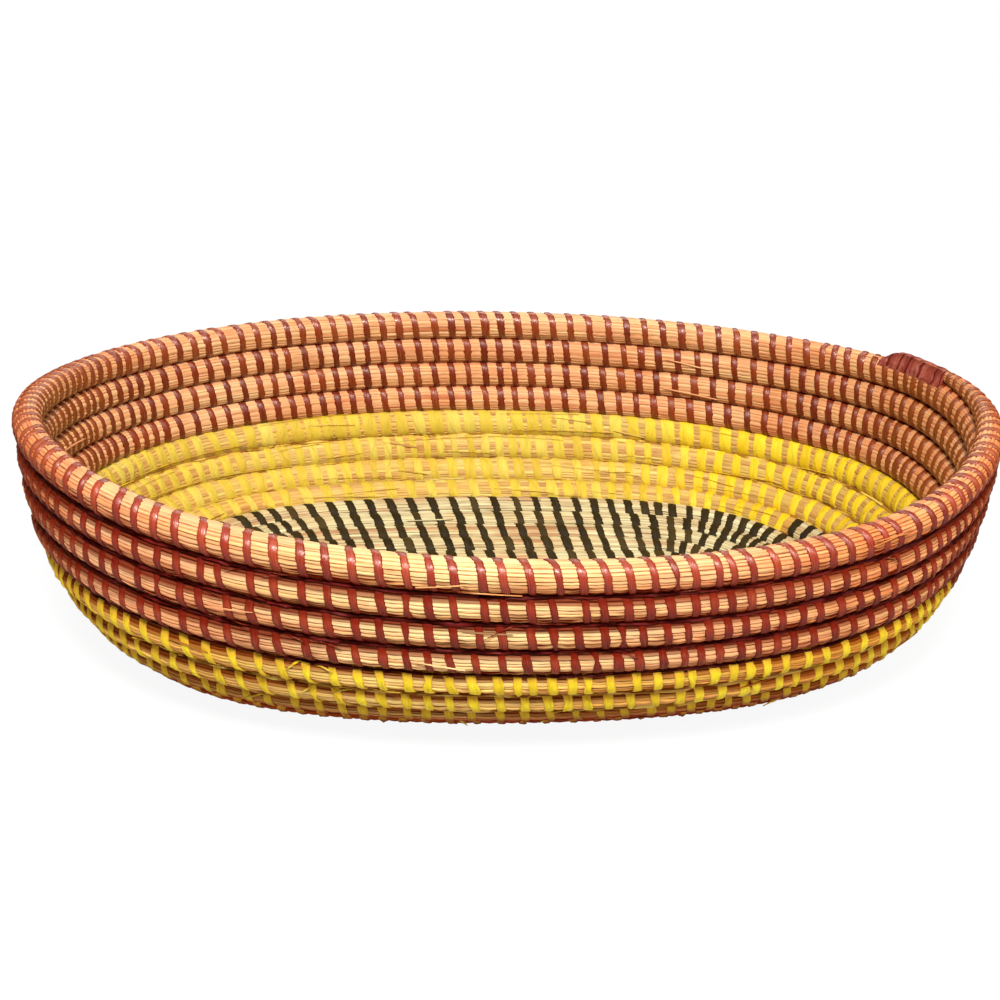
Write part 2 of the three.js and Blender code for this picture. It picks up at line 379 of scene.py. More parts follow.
class Nodes:
    """Short calls that add nodes to one tree and join them."""

    def __init__(self, tree):
        self.tree = tree

    def add(self, kind, **settings):
        node = self.tree.nodes.new(kind)
        for key, value in settings.items():
            setattr(node, key, value)
        return node

    def feed(self, socket, value):
        if isinstance(value, bpy.types.NodeSocket):
            self.tree.links.new(value, socket)
        else:
            socket.default_value = value

    def math(self, operation, a, b=0.0, c=0.0, clamp=False):
        node = self.add("ShaderNodeMath", operation=operation, use_clamp=clamp)
        for socket, value in zip(node.inputs, (a, b, c)):
            self.feed(socket, value)
        return node.outputs[0]

    def times(self, a, b, clamp=False):
        return self.math("MULTIPLY", a, b, clamp=clamp)

    def scaled(self, a, by, plus):
        return self.math("MULTIPLY_ADD", a, by, plus)

    def rest(self, share):
        return self.math("SUBTRACT", 1.0, share)

    def apart(self, a, b):
        return self.math("ABSOLUTE", self.math("SUBTRACT", a, b))

    def least(self, a, b):
        return self.math("MINIMUM", a, b)

    def most(self, a, b):
        return self.math("MAXIMUM", a, b)

    def range(self, value, low, high, to_low=0.0, to_high=1.0):
        node = self.add("ShaderNodeMapRange", interpolation_type="SMOOTHSTEP")
        for socket, given in zip(node.inputs, (value, low, high, to_low, to_high)):
            self.feed(socket, given)
        return node.outputs[0]

    def mix(self, factor, a, b, blend="MIX"):
        node = self.add("ShaderNodeMix", data_type="RGBA", blend_type=blend)
        for key, value in ((0, factor), (6, a), (7, b)):
            self.feed(node.inputs[key], value)
        return node.outputs[2]

    # Multiplies a colour by another colour. It is used for real tints and for painted shade alike.
    def multiplied(self, factor, colour, multiplier):
        return self.mix(factor, colour, multiplier, "MULTIPLY")

    def noise(self, vector, scale, detail, rough=0.5):
        node = self.add("ShaderNodeTexNoise")
        self.feed(node.inputs["Vector"], vector)
        for key, value in (("Scale", scale), ("Detail", detail), ("Roughness", rough)):
            self.feed(node.inputs[key], value)
        return node.outputs["Fac"]

    def white(self, a, b):
        node = self.add("ShaderNodeTexWhiteNoise", noise_dimensions="2D")
        self.feed(node.inputs["Vector"], self.vector(a, b))
        return node.outputs["Value"]

    def split(self, vector):
        node = self.add("ShaderNodeSeparateXYZ")
        self.feed(node.inputs[0], vector)
        return node.outputs

    def spot(self):
        return self.add("ShaderNodeTexCoord").outputs["Object"]

    def vector(self, x, y, z=0.0):
        node = self.add("ShaderNodeCombineXYZ")
        for socket, value in zip(node.inputs, (x, y, z)):
            self.feed(socket, value)
        return node.outputs[0]

    def ramp(self, value, stops):
        node = self.add("ShaderNodeValToRGB")
        self.feed(node.inputs[0], value)
        marks = node.color_ramp.elements
        while len(marks) < len(stops):
            marks.new(0.5)
        for mark, (place, colour) in zip(marks, stops):
            mark.position = place
            mark.color = colour
        return node.outputs["Color"]

    def bump(self, height, strength, distance):
        node = self.add("ShaderNodeBump")
        node.inputs["Strength"].default_value = strength
        node.inputs["Distance"].default_value = distance
        self.feed(node.inputs["Height"], height)
        return node.outputs[0]


def tint(red, green, blue):
    """A colour named as it is seen, from 0 to 255, turned into light."""
    seen = [part / 255 for part in (red, green, blue)]
    return tuple(c / 12.92 if c <= 0.04045 else ((c + 0.055) / 1.055) ** 2.4 for c in seen) + (1.0,)


def tones(*stops):
    """Colours for a ramp, each given as its place and its three parts."""
    return [(place, tint(*colour)) for place, *colour in stops]


white_tint = (1.0, 1.0, 1.0, 1.0)


def node_group(name, inputs, outputs):
    """An empty shader node group with named number inputs and number outputs."""
    tree = bpy.data.node_groups.new(name, "ShaderNodeTree")
    for label, value in inputs.items():
        socket = tree.interface.new_socket(label, in_out="INPUT", socket_type="NodeSocketFloat")
        socket.default_value = value
    for label in outputs:
        tree.interface.new_socket(label, in_out="OUTPUT", socket_type="NodeSocketFloat")
    n = Nodes(tree)
    return n, n.add("NodeGroupInput").outputs, n.add("NodeGroupOutput").inputs


def place_group(n, name, **values):
    """One of the node groups placed in a material with its own values."""
    node = n.add("ShaderNodeGroup", node_tree=bpy.data.node_groups[name])
    for label, value in values.items():
        n.feed(node.inputs[label.replace("_", " ")], value)
    return node.outputs


def lay_of(n):
    """The two numbers of the piece's own map: along the coil or stitch, and round or across it."""
    return n.split(n.add("ShaderNodeUVMap", uv_map="lay").outputs[0])[:2]


def build_groove_group():
    """Shade by the turn round the bundle: deep between the rounds, and darker low on each face."""
    inputs = {"Turn": 0.0, "Reach outside": 0.12, "Reach inside": 0.07, "Round above": 1.0}
    n, given, out = node_group("groove_shade", inputs, ["Groove", "Low", "Inside"])
    turn = given["Turn"]
    above = n.least(turn, n.rest(turn))
    below = n.math("SUBTRACT", 0.5, above)
    near = n.least(n.math("ADD", n.times(above, 0.8), n.rest(given["Round above"])), below)
    from_inside = n.apart(turn, 0.75)
    from_inside = n.least(from_inside, n.rest(from_inside))
    inside = n.range(from_inside, 0.18, 0.32, 1.0, 0.0)
    wider = n.math("SUBTRACT", given["Reach inside"], given["Reach outside"])
    reach = n.scaled(inside, wider, given["Reach outside"])
    n.feed(out["Groove"], n.range(near, n.times(reach, 0.52), reach, 1.0, 0.0))
    n.feed(out["Low"], n.range(above, 0.14, 0.44))
    n.feed(out["Inside"], inside)


def build_straw_group():
    """Single straws: their tone, the fibres along them, and the dark lines between and on them."""
    pieces_per_metre, line_width = 6.5, 0.2
    n, given, out = node_group("straws", {"Width low outside": 2.8, "Line share": 1.0},
                               ["Tone", "Fibre", "Line", "Turn"])
    along, v = lay_of(n)
    straw, across = n.math("FLOOR", v), n.math("FRACT", v)
    turn = n.math("FRACT", n.math("DIVIDE", v, float(straws)))

    def uneven(per_metre, track, spread):
        return n.noise(n.vector(n.times(along, per_metre), n.times(track, spread)), 1.0, 1.0)

    start = n.times(n.white(straw, 3.7), 19.0)
    dice = n.white(straw, n.math("FLOOR", n.scaled(along, pieces_per_metre, start)))
    patch = n.range(n.noise(n.spot(), 16.0, 2.0), 0.32, 0.68)
    fibre = n.noise(n.vector(n.times(along, 45.0), n.times(v, 4.0)), 1.0, 3.0)

    edge = n.least(across, n.rest(across))
    between = n.math("FLOOR", n.math("ADD", v, 0.5))
    wide = uneven(70.0, between, 7.3)
    # The lines widen low on the outside faces: painted shade
    low_outside = n.range(n.apart(turn, 0.36), 0.0, 0.18, given["Width low outside"], 1.0)
    width = n.times(n.times(line_width, low_outside), n.range(wide, 0.3, 0.7, 0.3, 1.7))
    line = n.times(n.range(edge, n.times(width, 0.3), width, 1.0, 0.0), n.range(wide, 0.25, 0.6, 0.3, 1.0))
    line = n.times(line, n.range(uneven(22.0, between, 5.1), 0.38, 0.56, 0.15, 1.0))

    split_at = n.scaled(n.white(straw, 8.1), 0.4, 0.3)
    split = n.range(n.apart(across, split_at), 0.02, 0.09, 1.0, 0.0)
    split = n.times(split, n.range(uneven(30.0, straw, 3.7), 0.5, 0.62, 0.0, 0.75))

    n.feed(out["Tone"], n.scaled(dice, 0.66, n.times(patch, 0.34)))
    n.feed(out["Fibre"], fibre)
    n.feed(out["Line"], n.times(n.most(line, split), given["Line share"]))
    n.feed(out["Turn"], turn)


def build_strip_group():
    """A flat strip: the tone of each stitch, the streaks along it, its thin edges, and patches of painted
    sheen.
    """
    n, given, out = node_group("strip_fibres", {"Streaks across": 9.0},
                               ["Tone", "Streak", "Worn", "Edge", "Turn"])
    along, across = lay_of(n)
    dice = n.white(n.math("FLOOR", along), 1.3)
    streak = n.noise(n.vector(n.times(along, 3.0), n.times(across, given["Streaks across"])), 1.0, 4.0, 0.6)
    sheen_noise = n.noise(n.vector(n.times(along, 5.0), n.times(across, 14.0), 4.0), 1.0, 3.0, 0.7)
    n.feed(out["Tone"], n.scaled(dice, 0.55, n.times(streak, 0.45)))
    n.feed(out["Streak"], streak)
    # Patches by chance where a paler colour is painted on as sheen
    n.feed(out["Worn"], n.range(sheen_noise, 0.52, 0.72))
    n.feed(out["Edge"], n.range(n.apart(across, 0.5), 0.33, 0.5))
    n.feed(out["Turn"], n.math("FRACT", along))


def build_place_group():
    """Where a spot lies on the basket: its two round ends, its right half, the middle of its front, which is
    painted paler as a pool of light, the lowest rounds outside, which are painted darker as shade, and
    patches by chance."""
    n, given, out = node_group("place_on_basket", {"Patch size": 20.0},
                               ["Ends", "Right", "Front", "Under", "Patch"])
    spot = n.spot()
    x, y, z = n.split(spot)
    in_middle = n.range(n.math("ABSOLUTE", n.math("ADD", x, 0.03)), 0.02, 0.1, 1.0, 0.0)
    n.feed(out["Ends"], n.range(n.math("ABSOLUTE", x), 0.142, 0.181))
    n.feed(out["Right"], n.range(x, 0.03, 0.12))
    # The middle of the front, painted paler as a pool of light
    n.feed(out["Front"], n.times(in_middle, n.range(y, -0.085, -0.06, 1.0, 0.0)))
    # The lowest rounds outside, which are darkened as painted shade
    n.feed(out["Under"], n.range(z, 0.0145, 0.0205, 1.0, 0.0))
    n.feed(out["Patch"], n.range(n.noise(spot, given["Patch size"], 3.0, 0.6), 0.42, 0.68))


build_groove_group()
build_straw_group()
build_strip_group()
build_place_group()


def grass_material(name, colours, dark, lit_front_tint, ends, patch_and_low_shade_tint, under, line_share, inner_share,
                   inner_tint, inner_dark=None, inner_groove=0.5, outer_tint=white_tint,
                   right_tint=white_tint, round_above=1.0):
    """Dried grass straws. dark is the colour of the lines, and of the grooves, where it is painted shade;
    line_share is the strength of the lines outside and inner_share what is left of it inside. round_above is
    0 on top of the rim."""
    material, tree, shader = new_material(name, 0.5)
    shader.inputs["Specular Tint"].default_value = (1.0, 0.86, 0.7, 1.0)
    n = Nodes(tree)
    where = place_group(n, "place_on_basket", Patch_size=26.0)
    # At the two ends the lines widen and the groove darkening reaches further: painted shade
    straw = place_group(n, "straws", Line_share=line_share,
                        Width_low_outside=n.scaled(where["Ends"], 2.2, 2.8))
    groove = place_group(n, "groove_shade", Turn=straw["Turn"], Round_above=round_above,
                         Reach_inside=0.06, Reach_outside=n.scaled(where["Ends"], 0.05, 0.176))
    inside, low = groove["Inside"], groove["Low"]
    outside = n.rest(inside)
    if inner_dark:
        dark = n.mix(inside, dark, inner_dark)

    colour = n.ramp(straw["Tone"], colours)
    # The middle of the front is painted paler: painted light
    colour = n.mix(n.times(where["Front"], n.range(straw["Tone"], 0.1, 0.8, 0.9, 0.4)), colour, lit_front_tint)
    # A duller tone at the two ends, much stronger outside, where it is painted shade
    colour = n.multiplied(n.times(where["Ends"], n.scaled(outside, 0.5, 0.12)), colour, ends)
    # Patches by chance take this tint as their own tone
    colour = n.multiplied(n.times(where["Patch"], 0.4), colour, patch_and_low_shade_tint)
    # The faces inside and outside take their own tints, partly their own hue and partly painted light and
    # shade
    colour = n.mix(inside, n.multiplied(1.0, colour, outer_tint), n.multiplied(1.0, colour, inner_tint))
    colour = n.multiplied(n.times(where["Right"], n.scaled(outside, 0.65, 0.35)), colour, right_tint)
    colour = n.multiplied(n.range(straw["Fibre"], 0.4, 0.75, 0.0, 0.45), colour, dark)
    lines = n.times(straw["Line"], n.scaled(outside, 1.0 - inner_share, inner_share))
    # The lines grow stronger towards the low part of each face: painted shade
    lines = n.times(lines, n.range(low, 0.0, 0.8, 0.45, 1.25), clamp=True)
    colour = n.mix(lines, colour, dark)
    # Darker towards the low part of each face outside: painted shade
    colour = n.multiplied(n.times(low, outside), colour, patch_and_low_shade_tint)
    # The lowest rounds outside are darkened: painted shade
    colour = n.multiplied(n.times(where["Under"], outside), colour, under)
    # Darkening in the grooves between the rounds, weaker inside: painted shade
    deep = n.times(groove["Groove"], n.scaled(outside, 0.95 - inner_groove, inner_groove))
    colour = n.mix(deep, colour, dark)

    n.feed(shader.inputs["Base Color"], colour)
    n.feed(shader.inputs["Roughness"], n.range(straw["Fibre"], 0.2, 0.8, 0.34, 0.62))
    n.feed(shader.inputs["Specular IOR Level"], n.range(n.most(deep, lines), 0.0, 0.7, 0.25, 0.02))
    n.feed(shader.inputs["Normal"], n.bump(straw["Fibre"], 0.5, 0.0003))
    return material


def strip_material(name, colours, edge_colour, ends, under, roughness, painted_sheen, streaks=9.0, fibre=0.35,
                   relief=0.0003, round_above=1.0, gloss=0.45, inner_colour=white_tint,
                   outer_colour=white_tint, patch_and_low_shade_tint=white_tint, right_colour=None):
    """A flat strip. The other colours tint it by place: right_colour inside the basket's right half, and the
    tint for low places the low part of each round's outside, as painted shade. edge_colour is that of edges
    and streaks, and of the grooves, where it is painted shade."""
    material, tree, shader = new_material(name, roughness)
    shader.inputs["Specular Tint"].default_value = (1.0, 0.84, 0.76, 1.0)
    n = Nodes(tree)
    strip = place_group(n, "strip_fibres", Streaks_across=streaks)
    where = place_group(n, "place_on_basket", Patch_size=34.0)
    # The groove darkening reaches further at the two ends: painted shade
    groove = place_group(n, "groove_shade", Turn=strip["Turn"], Round_above=round_above,
                         Reach_inside=0.08, Reach_outside=n.scaled(where["Ends"], 0.04, 0.168))
    outside = n.rest(groove["Inside"])
    if right_colour:
        inner_colour = n.mix(where["Right"], inner_colour, right_colour)

    colour = n.ramp(strip["Tone"], colours)
    colour = n.mix(n.times(where["Ends"], 0.6), colour, ends)
    # Paler patches on the strips: a painted sheen
    colour = n.mix(n.times(strip["Worn"], n.range(where["Patch"], 0.0, 1.0, 0.25, 0.75)), colour, painted_sheen)
    # The faces inside and outside take their own tints, partly their own hue and partly painted light and
    # shade
    colour = n.mix(groove["Inside"], n.multiplied(1.0, colour, outer_colour),
                   n.multiplied(1.0, colour, inner_colour))
    colour = n.mix(n.range(strip["Streak"], 0.5, 0.75, 0.0, fibre), colour, edge_colour)
    colour = n.mix(n.times(strip["Edge"], 0.8), colour, edge_colour)
    # Darker towards the low part of each face outside: painted shade
    colour = n.multiplied(n.times(n.times(groove["Low"], outside), 0.8), colour, patch_and_low_shade_tint)
    # The lowest rounds outside are darkened: painted shade
    colour = n.multiplied(n.times(where["Under"], outside), colour, under)
    # Darkening in the grooves between the rounds: painted shade
    colour = n.mix(n.times(groove["Groove"], 0.85), colour, edge_colour)

    dull = n.most(groove["Groove"], n.times(strip["Edge"], 0.6))
    rough = n.range(strip["Streak"], 0.25, 0.75, roughness - 0.08, roughness + 0.2)
    n.feed(shader.inputs["Base Color"], colour)
    n.feed(shader.inputs["Roughness"], rough)
    n.feed(shader.inputs["Specular IOR Level"], n.range(dull, 0.0, 0.8, gloss, 0.03))
    n.feed(shader.inputs["Normal"], n.bump(strip["Streak"], 0.8, relief))
    return material


# Grass of the red rounds and of the rim
straw_colours = tones(
    (0.0, 250, 218, 170), (0.22, 246, 202, 156), (0.42, 240, 182, 136), (0.6, 246, 202, 156),
    (0.78, 232, 164, 120), (0.92, 242, 200, 142), (1.0, 208, 132, 92))
red_grass = dict(
    colours=straw_colours, dark=tint(104, 24, 6), lit_front_tint=tint(253, 238, 178), ends=tint(224, 168, 136),
    right_tint=tint(242, 224, 202), patch_and_low_shade_tint=tint(232, 176, 128), under=tint(205, 145, 90),
    line_share=1.0, inner_share=0.22, inner_dark=tint(168, 64, 14), inner_tint=tint(229, 219, 203),
    inner_groove=0.24)
# The outside tints of these two differ, as painted light and shade
grass_red = grass_material("grass_of_red_rounds", outer_tint=tint(252, 243, 230), **red_grass)
grass_rim = grass_material("grass_of_the_rim", outer_tint=tint(249, 233, 215), round_above=0.0, **red_grass)

# Grass of the yellow rounds
grass_yellow = grass_material(
    "grass_of_yellow_rounds",
    tones((0.0, 250, 218, 132), (0.2, 230, 184, 104), (0.42, 246, 212, 112), (0.62, 214, 162, 92),
          (0.8, 250, 222, 120), (1.0, 196, 140, 76)),
    dark=tint(124, 48, 4), outer_tint=tint(250, 238, 216), right_tint=tint(230, 200, 156),
    lit_front_tint=tint(255, 242, 170), ends=tint(226, 180, 120), patch_and_low_shade_tint=tint(246, 202, 130),
    under=tint(178, 80, 28), line_share=1.0, inner_share=0.5, inner_dark=tint(160, 108, 40),
    inner_tint=tint(216, 218, 218), inner_groove=0.32)

# Grass of the black rounds
grass_black = grass_material(
    "grass_of_black_rounds",
    tones((0.0, 242, 232, 192), (0.3, 234, 219, 174), (0.5, 208, 185, 142), (0.68, 240, 227, 180),
          (0.85, 210, 166, 126), (1.0, 172, 130, 94)),
    dark=tint(84, 50, 22), lit_front_tint=tint(250, 240, 176), ends=tint(236, 196, 150),
    patch_and_low_shade_tint=tint(236, 186, 136), under=tint(184, 90, 32), line_share=0.9, inner_share=0.6,
    inner_tint=tint(226, 227, 218))

# Red strips, which shine more on the rim, where they are also painted lighter, as painted light from above
# inner_colour makes the strips browner inside, partly painted shade
red_finish = dict(
    edge_colour=tint(96, 20, 9), inner_colour=tint(216, 236, 140), outer_colour=tint(250, 250, 190),
    ends=tint(168, 82, 38), patch_and_low_shade_tint=tint(210, 150, 140), under=tint(205, 145, 90),
    painted_sheen=tint(212, 132, 112), fibre=0.6)
red_strip = strip_material(
    "red_strip", tones((0.0, 98, 20, 11), (0.5, 136, 36, 22), (1.0, 170, 66, 46)),
    roughness=0.27, gloss=0.6, **red_finish)
rim_strip = strip_material(
    "red_strip_on_the_rim", tones((0.0, 104, 22, 13), (0.5, 146, 40, 27), (1.0, 178, 70, 52)),
    roughness=0.23, gloss=1.0, round_above=0.0, **red_finish)
# The strip along the groove is coloured near black, partly its own dark red and partly painted shade of the
# groove
groove_red = strip_material(
    "red_strip_in_the_groove", tones((0.0, 56, 5, 4), (1.0, 118, 22, 18)),
    painted_sheen=tint(156, 66, 64), edge_colour=tint(44, 3, 2), ends=tint(76, 12, 10),
    under=tint(205, 145, 90), roughness=0.4, gloss=0.12)

# Yellow strips, dull and fibrous
yellow_strip = strip_material(
    "yellow_strip", tones((0.0, 226, 186, 70), (0.5, 244, 214, 76), (1.0, 250, 230, 130)),
    edge_colour=tint(206, 156, 50), painted_sheen=tint(254, 240, 160), outer_colour=tint(246, 246, 98),
    inner_colour=tint(217, 214, 192), right_colour=tint(238, 230, 100), ends=tint(212, 176, 56),
    under=tint(166, 90, 28), patch_and_low_shade_tint=tint(252, 228, 160), roughness=0.5, streaks=16.0, fibre=0.5,
    gloss=0.3, relief=0.0005)
groove_yellow = strip_material(
    "yellow_strip_in_the_groove", tones((0.0, 170, 114, 40), (1.0, 240, 206, 90)),
    painted_sheen=tint(246, 226, 130), edge_colour=tint(140, 86, 26), ends=tint(190, 140, 60),
    under=tint(190, 130, 84), roughness=0.5, streaks=16.0)

# Black strips, dull
black_strip = strip_material(
    "black_strip", tones((0.0, 28, 20, 5), (0.6, 44, 34, 12), (1.0, 80, 62, 28)),
    edge_colour=tint(24, 15, 4), painted_sheen=tint(96, 82, 52), ends=tint(40, 34, 22),
    under=tint(190, 126, 84), roughness=0.55, fibre=0.3, gloss=0.15)

# The crumpled strip round the tapered end, with a dark band painted in each turn of the winding as shade
binding_strip = strip_material(
    "binding_strip", tones((0.0, 98, 24, 17), (0.5, 138, 60, 46), (1.0, 184, 112, 90)),
    edge_colour=tint(86, 20, 13), painted_sheen=tint(216, 152, 132), ends=tint(144, 62, 50), under=white_tint,
    roughness=0.45, fibre=0.7, streaks=6.0, gloss=0.2, relief=0.0012, round_above=0.0)


# The grass, round by round

Sewn = namedtuple("Sewn", "start end grass strip groove_strip slot node")
sewn = {
    "black": Sewn(rounds_in_all, black_ends, grass_black, black_strip, None, "strip_black",
                  "bundle_base"),
    "yellow": Sewn(black_ends, yellow_ends, grass_yellow, yellow_strip, groove_yellow, "strip_yellow",
                   "bundle_lower_wall"),
    "red": Sewn(yellow_ends, tip_starts, grass_red, red_strip, groove_red, "strip_red",
                "bundle_upper_wall"),
}


def stretches():
    """Every round as its colour, its count in that colour, and where it starts and ends."""
    for colour, kind in sewn.items():
        marks = [kind.start]
        while math.ceil(marks[-1]) - 1 > kind.end:
            marks.append(math.ceil(marks[-1]) - 1)
        marks.append(kind.end)
        for count, (a, b) in enumerate(zip(marks, marks[1:]), 1):
            yield colour, count, arc_at_round(a), arc_at_round(b)


rim_round = list(stretches())[-1][:2]
pieces = {}

# Stations of the straw mesh: rings at each stitch and at even steps between two stitches
station_shares = np.arange(stations_per_stitch) / stations_per_stitch
stitch_edges = np.concatenate([[0], stitches, [coil_length]])
stitch_gaps = np.diff(stitch_edges)
station_arcs = (stitch_edges[:-1, None] + stitch_gaps[:, None] * station_shares).ravel()
station_gaps = np.repeat(stitch_gaps, stations_per_stitch)
station_kind = np.tile(station_shares, len(stitch_gaps))


def straw_turns():
    """Turn of every point of the rings: marks across each straw, whose edges wander."""
    edge = wander(straws, station_arcs, spacing=46, seed=21)
    edge = np.arange(straws)[:, None] + straw_edge_wander * edge
    width = np.roll(edge, -1, 0) - edge
    width[-1] += straws
    turn = [(edge + mark * width) / straws for mark in straw_marks]
    return np.stack(turn, 1).reshape(-1, len(station_arcs)).T


def straw_ridges():
    """Height of every point of the rings: the valley between two straws and the round top of one."""
    top = straw_top + unevenness * wander(straws, station_arcs, spacing=38, seed=22)
    valley = unevenness * wander(straws, station_arcs, spacing=24, seed=23) - valley_depth
    edge = np.minimum(top, np.roll(top, 1, 0)) + valley
    flank = top - straw_rounding
    return np.stack([edge, flank, top, flank], 1).reshape(-1, len(station_arcs)).T


def straw_grid():
    """Rings of points of the whole bundle, whose ridges are its straws. Each stitch presses them in,
    and they lie flat where two rounds touch."""
    inner_ridge_share, pressed_ridge_share, faces_apart, rim_rounds = 0.42, 0.45, 1.6, 1.02
    turn = straw_turns()
    outside = 0.5 + 0.5 * np.clip(np.sin(2 * math.pi * turn) * faces_apart, -1, 1)
    pinch_out = (0.5 + 0.5 * np.cos(2 * math.pi * station_kind))[:, None]
    pinch = outside * pinch_out + (1 - outside) * (1 - pinch_out)
    ridge = straw_ridges() * (inner_ridge_share + (1 - inner_ridge_share) * outside)
    ridge *= 1 - (1 - pressed_ridge_share) * pinch
    rise = swell - (pressed_in + pressed_more_outside * outside) * pinch + ridge

    to_seam = np.abs(np.mod(turn + 0.25, 0.5) - 0.25)
    on_rim = (on_coil(arc_rounds, station_arcs) < rim_rounds)[:, None]
    alone = on_rim & (np.abs(np.mod(turn, 1) - 0.5) > 0.25)
    touching = np.exp(-(to_seam / seam_width) ** 2) * ~alone
    rise = rise * (1 - touching) + seam_rise * touching

    lean = ring_lean(np.mod(turn, 1), station_arcs[:, None]) * station_gaps[:, None]
    arc = np.clip(station_arcs[:, None] + lean, 0, coil_length)
    return surface(arc, turn, rise), arc


def with_rounded_start(rings, ring_arcs):
    """The start of the coil, its blunt end drawn in so that it fills the turn round it."""
    bends = np.radians([84, 66, 44, 22])[:, None, None]
    reach, bluntness = 6, 0.55
    middle = rings[0].mean(0)
    ends = middle + (rings[0] - middle) * np.cos(bends) ** bluntness - alongs[0] * reach * np.sin(bends)
    return np.concatenate([ends, rings]), np.concatenate([np.repeat(ring_arcs[:1], len(bends), 0), ring_arcs])


def grass_of(colour, count):
    return grass_rim if (colour, count) == rim_round else sewn[colour].grass


straw_v = np.arange(straws * len(straw_marks)) / len(straw_marks)
grid, grid_arcs = straw_grid()
for colour, count, start, end in stretches():
    low, high = np.searchsorted(station_arcs, [start, end])
    high = min(high + 1, len(station_arcs))
    rings, ring_arcs = grid[low:high], grid_arcs[low:high]
    if low == 0:
        rings, ring_arcs = with_rounded_start(rings, ring_arcs)
    piece = tube(f"grass_{colour}_{count}", rings, ring_arcs * metre, straw_v, grass_of(colour, count))
    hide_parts(sewn[colour].node)
    pieces[colour, count] = piece

# The thin tip ends inside the winding
tip_ends = coil_length - 8
low, high = np.searchsorted(station_arcs, [arc_at_round(tip_starts), tip_ends])
tip = tube("grass_tip", grid[low:high], grid_arcs[low:high] * metre, straw_v, grass_rim)
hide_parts("bundle_upper_wall")
pieces["tip"] = tip


# The stitches

stitch_turns = np.array([0.0, 0.05, 0.11, 0.18, 0.25, 0.32, 0.39, 0.45,
                         0.5, 0.55, 0.61, 0.68, 0.75, 0.82, 0.89, 0.95])


def ribbon(name, arc, turn, half_width, rise, thickness, along, material):
    """A flat closed ribbon that follows arc lengths and turns; its edges stand off along the coil."""
    flat_share = 0.76
    rings = np.stack([
        surface(arc - half_width, turn, rise),
        surface(arc - half_width * flat_share, turn, rise + thickness),
        surface(arc, turn, rise + thickness * 1.35),
        surface(arc + half_width * flat_share, turn, rise + thickness),
        surface(arc + half_width, turn, rise),
    ], 1)
    return tube(name, rings, along, np.array([0.0, 0.12, 0.5, 0.88, 1.0]), material)


def inner_strip_width(colour, i, slow):
    """Width of stitch i inside. Yellow ones are widest on their top round, and narrow at the ends."""
    wide = strip_widths[colour][1] * chance.uniform(0.84, 1.16) * (1 + loose_shares[colour] * slow)
    if colour == "yellow":
        at_round = on_coil(arc_rounds, stitches[i])
        wide *= np.interp(at_round, [yellow_ends + 1, yellow_ends + 1.3], [1.35, 1])
        wide *= np.interp(abs(on_coil(places[:, 0], stitches[i])), [90, 150], [1, 0.76])
    return wide


def one_stitch(colour, i, slow, ply):
    """Stations of stitch i: arc length, turn, half width, rise, thickness, and place along it. It lies
    deeper in the grooves, and here and there it is squeezed at a neck."""
    groove_reach, neck_reach, base_rise, groove_sink = 0.04, 0.055, -0.1, 0.12
    neck_rise, neck_thicker, ply_rise, ply_width_share, most_of_gap = 0.35, 0.3, 0.08, 0.5, 0.94
    gap = stitches[i + 1] - stitches[i] if i + 1 < len(stitches) else stitch_spacing
    outer = strip_widths[colour][0] * chance.uniform(0.88, 1.12) * (1 + 0.08 * slow[0])
    inner = min(inner_strip_width(colour, i, slow[1]), gap * most_of_gap)
    squeeze = chance.uniform(0.2, 0.45) if chance.random() < 0.08 else 1.0
    neck = chance.uniform(0.17, 0.33)
    phase, stray = chance.uniform(0, 2 * math.pi), chance.uniform(0.6, 1.7)
    rough = chance.normal(0, 0.05, len(stitch_turns))
    sway = chance.normal(0, 0.1, len(stitch_turns))
    for t, edge, shift in zip(stitch_turns, rough, sway):
        face = 0.5 + 0.5 * math.tanh(6 * math.sin(2 * math.pi * t))
        width = outer * face + inner * (1 - face)
        pinch = 1 - (1 - squeeze) * math.exp(-((t - neck) / neck_reach) ** 2)
        deep = sum(math.exp(-(away / groove_reach) ** 2) for away in (min(t, 1 - t), t - 0.5))
        if ply:
            width *= ply_width_share
            shift += stray * math.cos(2 * math.pi * 2 * t + phase)
        rise = base_rise - groove_sink * deep + (1 - pinch) * neck_rise + ply_rise * ply
        yield (stitches[i] + stitch_lean(t, stitches[i]) * gap + shift, t,
               width / 2 * pinch * (1 + edge), rise, strip_thickness + (1 - pinch) * neck_thicker, i + t)


def sew(colour, count, start, end, ply=0):
    """The strip of one round with all its stitches. ply 1 is a second, thinner one that forks off."""
    material = rim_strip if (colour, count) == rim_round else sewn[colour].strip
    slow = wander(2, stitches, spacing=45, seed=51)
    rows = []
    for i in np.flatnonzero((stitches >= start) & (stitches < end)):
        rows += one_stitch(colour, i, slow[:, i], ply)
    return ribbon(f"strip_{colour}_{count}_{ply}", *np.array(rows).T, material)


